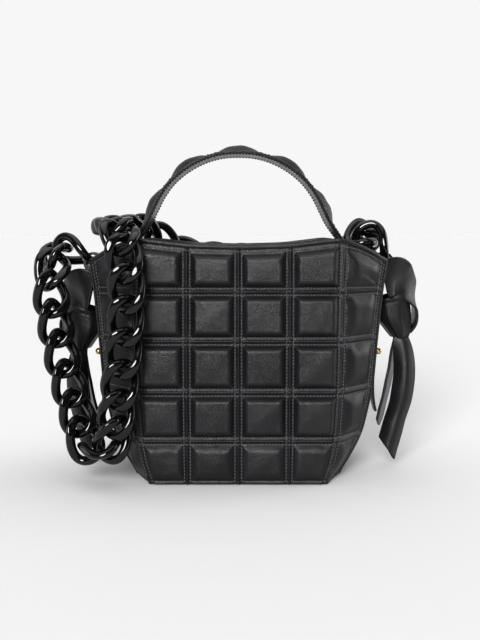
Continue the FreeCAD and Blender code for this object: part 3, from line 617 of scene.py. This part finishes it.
# ---------------------------------------------------------------- gussets
def gusset(v, h):
    """Right gusset: v is -1..1 from front seam to back seam, h is 0..1 from base to rim."""
    v, h = np.broadcast_arrays(np.asarray(v, float), np.asarray(h, float))
    edge = np.abs(v)
    z = GUSSET_FOOT + h * 163.0
    # the rim's height depends on x and x on the height, so a few rounds settle both
    for _ in range(3):
        corner = 0.62 - 0.08 * smooth(pleat_in(z) / 10.0)
        flat = np.clip(edge / corner, 0.0, 1.0)
        wing = np.clip((edge - corner) / (1.0 - corner), 0.0, 1.0)
        bend = 0.5 * (wing + np.sqrt(wing ** 2 + 0.12 ** 2)) - 0.06
        root = seam_x(z) - pleat_in(z)
        x = root + (seam_x(z) - root) * np.clip(bend, 0.0, 1.0)
        y = PLEAT_HALF * flat + (seam_y(z) - PLEAT_HALF) * wing
        z = GUSSET_FOOT + h * (rim_of(x) - GUSSET_FOOT)
    return np.stack([x, np.sign(v) * y, z], -1)


def gusset_skin(v, h):
    """Right gusset with its soft waves, and its outward normals."""
    p = gusset(v, h)
    across = gusset(np.minimum(v + 0.01, 1.0), h) - gusset(np.maximum(v - 0.01, -1.0), h)
    up = gusset(v, np.minimum(h + 0.01, 1.0)) - gusset(v, np.maximum(h - 0.01, 0.0))
    n = unit(np.cross(across, up))
    n = np.where(n[..., :1] < 0, -n, n)
    wave = 0.44 * ripples(p * np.array([1.0, 1.0, 0.45]), 30.0, 21) + 0.16 * ripples(p, 11.0, 22)
    wave *= smooth((1.0 - np.abs(v)) / 0.12) * smooth((h - 0.02) / 0.1)
    return p + n * wave[..., None], n


grid_v, grid_h = np.meshgrid(np.linspace(-1, 1, 97), np.linspace(0, 1, 121))
face, face_n = gusset_skin(grid_v, grid_h)
back = face - face_n * LEATHER_T
back[..., 2] = np.where(grid_h == 1.0, face[..., 2], back[..., 2])
h_run = np.linspace(0.02, 0.985, 320)
v_run = np.linspace(-0.93, 0.93, 160)
side_runs = [gusset_skin(np.full_like(h_run, v), h_run) for v in (-0.93, 0.93)]
side_runs.append(gusset_skin(v_run, np.full_like(v_run, 0.978)))
for side, turn in (("right", same), ("left", flip_x)):
    points, faces = thick_sheet(turn(face), turn(back))
    skin = make_object("gusset_skin_" + side, points, faces, NAPPA)
    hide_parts("gusset_" + side)
    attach(skin, "bag")
    stitch_mesh("stitches_gusset_" + side, [(turn(p), turn(m)) for p, m in side_runs], "bag")


# ---------------------------------------------------------------- bound edges
def bound_edge(name, path, out, profile):
    """Leather bar of a given profile (out, up) along a path whose outward direction is given."""
    d = unit(np.gradient(path, axis=0))
    out = unit(out - d * np.sum(out * d, axis=1, keepdims=True))
    up = unit(np.cross(out, d))
    if up[len(up) // 2, 2] < 0:
        up = -up
    loops = np.stack([path + out * a + up * b for a, b in profile], 1)
    points, faces = tube(loops)
    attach(make_object(name, points, faces, NAPPA), "bag")


def round_profile(width, height, lift=0.0, count=14, power=3.0):
    """Soft-cornered rectangle."""
    out = []
    for i in range(count):
        a = 2 * math.pi * i / count
        c, s = math.cos(a), math.sin(a)
        out.append((math.copysign(abs(c) ** (2 / power), c) * width / 2,
                    math.copysign(abs(s) ** (2 / power), s) * height / 2 + lift))
    return out


u_run = np.linspace(-3.0, 3.0, 260)
rim_line = wall(u_run, panel_z(u_run, np.full_like(u_run, 5.0)))
rim_out = unit(np.stack([rim_line[:, 0] * 0.25, rim_line[:, 1], 0 * u_run], -1))
for name, turn in (("front", same), ("back", flip_y)):
    bound_edge("rim_fold_" + name, turn(rim_line - rim_out * 0.6), turn(rim_out),
               round_profile(2.9, 3.0, -0.4))
v_line = np.linspace(-1.0, 1.0, 120)
side_line, side_n = gusset_skin(v_line, np.ones_like(v_line))
for name, turn in (("right", same), ("left", flip_x)):
    bound_edge("rim_fold_" + name, turn(side_line - side_n * 0.6), turn(side_n),
               round_profile(2.6, 2.8, -0.4))
z_line = 1.2 + np.linspace(0.0, 1.0, 200) * (rim_of(109.0) - 1.2)
seam_line = np.stack([seam_x(z_line) + 0.1, -seam_y(z_line), z_line], -1)
seam_out = np.tile([0.85, -0.5, 0.0], (len(seam_line), 1))
for name, turn in (("front_right", same), ("front_left", flip_x),
                   ("back_right", flip_y), ("back_left", flip_xy)):
    bound_edge("seam_welt_" + name, turn(seam_line), turn(seam_out), round_profile(1.7, 1.7, 0.0, 10, 2.2))


# ---------------------------------------------------------------- handle
def mirrored(half_path):
    """Even points along the handle, from its left end over the top to its right end."""
    right = [(x, 0.0, z) for x, z in half_path]
    left = [(-x, 0.0, z) for x, z in half_path[:0:-1]]
    return smooth_path(left + right, 601)


HANDLE_LINE = mirrored(HANDLE_PATH)
HANDLE_MARKS = path_marks(HANDLE_LINE)
HANDLE_HALF = HANDLE_MARKS[-1] / 2.0


def handle_at(s, y, lift):
    """Point on the handle: s from its top in mm, y -1..1 across, lift above the centreline."""
    s, y, lift = np.broadcast_arrays(np.asarray(s, float), np.asarray(y, float), np.asarray(lift, float))
    t = s + HANDLE_HALF
    p = along_path(t, HANDLE_MARKS, HANDLE_LINE)
    d = unit(along_path(t + 1.5, HANDLE_MARKS, HANDLE_LINE) - along_path(t - 1.5, HANDLE_MARKS, HANDLE_LINE))
    n = np.stack([-d[..., 2], 0 * t, d[..., 0]], -1)
    half = HANDLE_W / 2.0 * (0.62 + 0.38 * smooth((HANDLE_HALF - np.abs(s)) / HANDLE_TAPER))
    return p + n * lift[..., None] + np.stack([0 * t, y * half, 0 * t], -1), n


def cushion(s, y):
    """Height of the handle's padded cover above the centreline."""
    half = HANDLE_PAD_PITCH / 2.0
    place = (s + half) % HANDLE_PAD_PITCH - half
    on = np.where(np.abs(s) < HANDLE_PAD_PITCH * 2.5, 1.0, 0.0)
    gap_s = half - np.abs(place)
    gap_y = (1.0 - np.abs(y)) * HANDLE_W / 2.0
    arch = np.sin(np.clip((gap_s - 3.2) / 16.0, 0, 1) * math.pi / 2)
    across = np.sin(np.clip((gap_y - 2.6) / 7.5, 0, 1) * math.pi / 2)
    puff = arch ** 0.85 * across ** 0.8 * on
    seam = -0.25 * bell(gap_y - HANDLE_ROW, 0.6) - 0.15 * bell(gap_s - 1.0, 0.5) * on
    ridge = 0.25 * bell(gap_s - 3.0, 0.5) * on * smooth(gap_y / 3.0)
    spots = np.stack([s, y * HANDLE_W / 2.0, 0 * s], -1)
    return 1.5 + HANDLE_PAD_RISE * puff + seam + ridge + 0.22 * ripples(spots, 12.0, 31) * puff


half_ys = np.array([-1, -0.985, -0.95, -0.9, -0.86, -0.82, -0.76, -0.68, -0.6, -0.5, -0.38, -0.25, -0.12])
grid_s, grid_y = np.meshgrid(np.linspace(-HANDLE_HALF + 0.5, HANDLE_HALF - 0.5, 321),
                             np.concatenate([half_ys, [0.0], -half_ys[::-1]]), indexing="ij")
from_edge = (1 - np.abs(grid_y)) * HANDLE_W / 2.0
round_edge = 1 - np.sqrt(np.clip(1 - np.clip((np.abs(grid_y) - 0.93) / 0.07, 0, 1) ** 2, 0, 1))
cover, _ = handle_at(grid_s, grid_y, cushion(grid_s, grid_y) - round_edge)
under, _ = handle_at(grid_s, grid_y, 0.15)
points, faces = thick_sheet(cover, under)
pad = make_object("handle_padding", points, faces, NAPPA_HANDLE)
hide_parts("handle_cover", "handle_pads")
upper, _ = handle_at(grid_s, grid_y, 0.05)
lower, _ = handle_at(grid_s, grid_y, -0.85 + 0.5 * round_edge + 0.12 * bell(from_edge - HANDLE_ROW, 0.5))
points, faces = thick_sheet(upper, lower)
inside = make_object("handle_underside", points, faces, STRAP)
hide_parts("handle_lining")
handle_runs = []
s_run = np.linspace(-HANDLE_HALF + 2, HANDLE_HALF - 2, 700)
for y in (-1, 1):
    edge = np.full_like(s_run, y * (1 - HANDLE_ROW / (HANDLE_W / 2.0)))
    handle_runs.append(handle_at(s_run, edge, cushion(s_run, edge)))
    low_line, n = handle_at(s_run, edge, -0.80)
    handle_runs.append((low_line, -n))
y_run = np.linspace(-0.85, 0.85, 60)
for k in range(-3, 3):
    for side in (-1, 1):
        s_here = np.full_like(y_run, (k + 0.5) * HANDLE_PAD_PITCH + side * 2.9)
        handle_runs.append(handle_at(s_here, y_run, cushion(s_here, y_run)))
sewing = stitch_mesh("stitches_handle", handle_runs, None)
for piece in (pad, inside, sewing):
    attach(piece, "handle")


# ---------------------------------------------------------------- tied straps
def strap_loops(stations, count, crease, slant, wave, seed):
    """Loops of points round a flat strap, folded along its middle by crease degrees and cut at a slant."""
    rows = smooth_path(stations, count)
    path = rows[:, :3]
    d, w, n = path_frames(path, rows[:, 3:6])
    factor = rows[:, 6]
    reach = STRAP_W / 2.0 * factor
    marks = np.linspace(0, 1, count)
    across = np.concatenate([[-1.0, -0.97, -0.9], np.linspace(-0.82, 0.82, 17), [0.9, 0.97, 1.0]])
    angle = math.radians(crease) * factor
    bend = 0.14             # roundness of the fold
    ends = smooth(marks * 6) * smooth((1 - marks) * 8)
    loops = []
    for side in (1, -1):
        for q in across[::side]:
            fold = math.sqrt(q * q + bend) - math.sqrt(bend)
            lean = q / math.sqrt(q * q + bend)
            edge = min(1.0, (1.0 - abs(q)) / 0.1)
            gap = (1.0 - abs(q)) * STRAP_W / 2.0
            depth = STRAP_T / 2.0 * (0.55 + 0.45 * math.sqrt(1 - (1 - edge) ** 2))
            depth -= 0.16 * math.exp(-((gap - 1.9) / 0.5) ** 2)
            p = path + w * (q * reach * np.cos(angle))[:, None] + n * (fold * reach * np.sin(angle))[:, None]
            p = p + d * (slant * q * smooth((marks - 0.72) / 0.28))[:, None]
            up = n * np.cos(angle)[:, None] - w * (lean * np.sin(angle))[:, None]
            ripple = wave * ripples(path + w * q * 6.0, 26.0, seed) * ends
            loops.append(p + up * (side * depth + ripple)[:, None])
    return np.stack(loops, 1)


def knot_shift(z, sway):
    """How far a strap is swayed sideways at a height: not above the knot, more and more below it."""
    return sway * (np.clip((131.0 - z) / 32.0, 0, 1) + 0.8 * max(0.0, (98.0 - z) / 80.0))


# Stations of the straps: place, direction of the width, width as a share of the strap's.
LOOP_RUN = [
    (106.0, -22.6, 144.0, 0.0, 0.0, 1.0, 1.1),
    (110.6, -20.6, 145.0, 0.1, 0.05, 1.0, 1.18),
    (115.4, -17.0, 145.5, 0.35, 0.1, 0.93, 1.2),
    (120.6, -11.8, 142.5, 0.75, 0.4, 0.5, 1.12),
    (128.0, -6.0, 135.0, 0.6, 0.75, 0.3, 0.95),
    (132.3, -1.0, 124.0, 0.1, 1.0, 0.0, 0.85),
    (132.4, 0.0, 111.0, 0.0, 1.0, 0.0, 0.75),
    (128.6, 0.5, 103.0, 0.0, 1.0, 0.0, 0.55),
]
FRONT_RUN = [
    (119.6, -3.2, 108.0, 1.0, 0.0, 0.0, 0.42),
    (121.0, -5.0, 102.0, 1.0, 0.0, 0.0, 0.46),
    (122.4, -7.0, 96.8, 1.0, 0.0, 0.0, 0.58),
    (124.0, -9.0, 86.0, 1.0, 0.0, 0.0, 0.85),
    (124.4, -10.6, 70.0, 1.0, 0.0, 0.0, 1.0),
    (122.3, -10.8, 52.0, 1.0, 0.0, 0.0, 1.0),
    (117.7, -10.8, 36.0, 1.0, 0.0, 0.0, 1.0),
]
BACK_RUN = [
    (119.2, 2.6, 106.0, 0.35, 0.94, 0.0, 0.35),
    (119.4, 5.2, 96.8, 0.35, 0.94, 0.0, 0.42),
    (119.0, 8.6, 86.0, 0.35, 0.94, 0.0, 0.65),
    (117.4, 11.8, 70.0, 0.35, 0.94, 0.0, 0.92),
    (113.2, 12.0, 50.0, 0.35, 0.94, 0.0, 0.92),
    (108.0, 12.0, 31.0, 0.35, 0.94, 0.0, 0.92),
]
# Levels of the knot's wrap: height, x of its middle, half sizes in x and y, tilt of the level.
WRAP_FOOT = 98.8
WRAP_TOP = 131.0
WRAP = [
    (WRAP_FOOT, 121.4, 5.6, 8.0, 0.0),
    (104.0, 120.4, 8.8, 11.0, 0.4),
    (113.0, 117.4, 12.0, 13.4, 1.4),
    (122.0, 115.8, 12.6, 14.0, 2.4),
    (WRAP_TOP, 115.2, 12.2, 14.0, 3.2),
]
WRAP_T = 2.0


def wrap_loops(sway, drop):
    """Funnel-shaped wrap of the knot: loops from its outer foot up over the hem and down inside."""
    rows = smooth_path(WRAP, 46)
    around = np.linspace(0, 2 * math.pi, 97)[:-1]
    c, s = np.cos(around), np.sin(around)
    power = 0.8             # a little squarer than an ellipse
    cx = np.sign(c) * np.abs(c) ** power
    sy = np.sign(s) * np.abs(s) ** power
    loops = []
    for inward in (False, True):
        for z, x, rx, ry, up in rows[::-1 if inward else 1]:
            t = (z - WRAP_FOOT) / (WRAP_TOP - WRAP_FOOT)
            gap = WRAP_TOP - z
            hem = 0.55 * math.exp(-((gap - 2.0) / 1.1) ** 2) - 0.3 * math.exp(-((gap - 4.4) / 0.8) ** 2)
            gather = (1 - t) ** 1.4 * 0.62 * np.sin(7 * around + 1.1 * np.sin(2 * around))
            gather = gather + 0.35 * (1 - t) * np.sin(13 * around + 2.0)
            sag = 0.5 * math.sin(t * math.pi) * np.sin(3 * around + 4.0 * t)
            radial = gather + sag + (-WRAP_T if inward else hem)
            loops.append(np.stack([x + knot_shift(z, sway) + (rx + radial) * cx, (ry + radial) * sy,
                                   z - drop + up * cx], -1))
    return np.stack(loops)


def swayed(run, sway, drop, share=1.0):
    """Stations of a strap moved with its knot."""
    return [(x + share * float(knot_shift(z, sway)), y, z - drop, *rest) for x, y, z, *rest in run]


def strap_piece(name, side, loops, closed=False):
    points, faces = tube((same if side == "right" else flip_x)(loops), closed)
    return make_object(name + side, points, faces, STRAP)


for side, sign, sway, drop, tip in (("right", 1.0, 0.0, 0.0, (112.0, 15.0)),
                                    ("left", -1.0, -3.0, KNOT_DROP, (114.6, 25.0))):
    over = swayed(LOOP_RUN, sway, drop, 0.8)
    band = strap_piece("knot_band_", side, strap_loops(over, 70, 0.0, 0.0, 0.35, 41))
    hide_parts("knot_loop_" + side)
    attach(band, "bag")
    wrap = strap_piece("knot_cuff_", side, wrap_loops(sway, drop), True)
    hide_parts("knot_wrap_" + side)
    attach(wrap, "bag")
    tip_x, tip_z = tip
    front = swayed(FRONT_RUN, sway, drop)
    front.append((tip_x + float(knot_shift(tip_z + drop, sway)), -10.8, tip_z - drop, 1.0, 0.0, 0.0, 1.0))
    rear = swayed(BACK_RUN, sway, drop, 0.4)
    for kind, run, crease, slant in (("front", front, -50.0, 7.0), ("back", rear, 0.0, 4.0)):
        body = "tail_%s_%s" % (kind, side)
        tail = strap_piece("strap_end_%s_" % kind, side, strap_loops(run, 90, crease, slant, 0.5, 51))
        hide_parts(body)
        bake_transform(tail)


# ---------------------------------------------------------------- stage, light and camera
BACKDROP = 0.938            # brightness of the plain white background
STUDIO_LIT = 0.85           # of the studio behind the bag
STUDIO_DIM = 0.04           # and behind the camera
FLOOR_TONE = 0.594
FLOOR_REACH = 40.0          # m, half the size of the floor, so that its edge looks like a horizon
FLOOR_DROP = 0.0002         # m, below the base
CONTRAST = 0.86             # deepens the blacks as in a product picture

LIGHTS = [
    # name, azimuth (0 is straight in front of the bag), elevation, spread, power
    ("overhead", 0.0, 80.0, 60.0, 1.10),
    ("front_softbox", -14.0, 24.0, 28.0, 4.8),
    ("left_softbox", -85.0, 14.0, 30.0, 0.35),
    ("right_softbox", 105.0, 9.0, 40.0, 1.5),
]
CAM_LENS = 45.81
CAM_PLACE = (0.0012, -0.6118, 0.1787)
CAM_TILT = 3.449            # degrees below level
CAM_SHIFT = -0.0625


def soft_light(name, azimuth, elevation, spread, power):
    """Very soft distant light."""
    data = bpy.data.lights.new(name, "SUN")
    data.energy = power
    data.angle = math.radians(spread)
    obj = bpy.data.objects.new(name, data)
    a, e = math.radians(azimuth), math.radians(elevation)
    back = Vector((math.sin(a) * math.cos(e), -math.cos(a) * math.cos(e), math.sin(e)))
    obj.rotation_euler = (-back).to_track_quat("-Z", "Y").to_euler()
    bpy.context.scene.collection.objects.link(obj)


def make_stage():
    mesh = bpy.data.meshes.new("floor")
    r = FLOOR_REACH
    mesh.from_pydata([(-r, -r, 0), (r, -r, 0), (r, r, 0), (-r, r, 0)], [], [(0, 1, 2, 3)])
    n = Nodes("floor_pale")
    grain = n.noise(40.0, 3.0, 0.5)
    n.set(Base_Color=n.mix(grain, (FLOOR_TONE,) * 3, (FLOOR_TONE * 1.01,) * 3), Roughness=0.9,
          Specular_IOR_Level=0.0)
    mesh.materials.append(n.material)
    floor = bpy.data.objects.new("floor", mesh)
    floor.location.z = -FLOOR_DROP
    bpy.context.scene.collection.objects.link(floor)


def make_world():
    """White behind and beside the bag, dim behind the camera; plain white where the camera sees it."""
    world = bpy.data.worlds.new("studio")
    bpy.context.scene.world = world
    world.use_nodes = True
    tree = world.node_tree
    back = tree.nodes["Background"]
    place = tree.nodes.new("ShaderNodeTexCoord")
    axes = tree.nodes.new("ShaderNodeSeparateXYZ")
    tree.links.new(place.outputs["Generated"], axes.inputs[0])
    depth = tree.nodes.new("ShaderNodeMapRange")
    depth.interpolation_type = "SMOOTHSTEP"
    for key, value in (("From Min", -0.55), ("From Max", 0.35),
                       ("To Min", STUDIO_DIM), ("To Max", STUDIO_LIT)):
        depth.inputs[key].default_value = value
    tree.links.new(axes.outputs[1], depth.inputs["Value"])
    path = tree.nodes.new("ShaderNodeLightPath")
    mix = tree.nodes.new("ShaderNodeMix")
    tree.links.new(path.outputs["Is Camera Ray"], mix.inputs[0])
    tree.links.new(depth.outputs["Result"], mix.inputs[2])
    mix.inputs[3].default_value = BACKDROP
    tree.links.new(mix.outputs[0], back.inputs["Strength"])
    back.inputs["Color"].default_value = (1.0, 1.0, 1.0, 1.0)


def make_camera():
    data = bpy.data.cameras.new("camera")
    data.lens = CAM_LENS
    data.sensor_width = 36.0
    data.clip_start = 0.01
    data.shift_y = CAM_SHIFT
    obj = bpy.data.objects.new("camera", data)
    obj.location = CAM_PLACE
    obj.rotation_euler = (math.radians(90.0 - CAM_TILT), 0.0, 0.0)
    bpy.context.scene.collection.objects.link(obj)
    bpy.context.scene.camera = obj


make_stage()
make_world()
make_camera()
for light in LIGHTS:
    soft_light(*light)
view = bpy.context.scene.view_settings
view.view_transform = "Standard"
view.gamma = CONTRAST
view.look = "None"
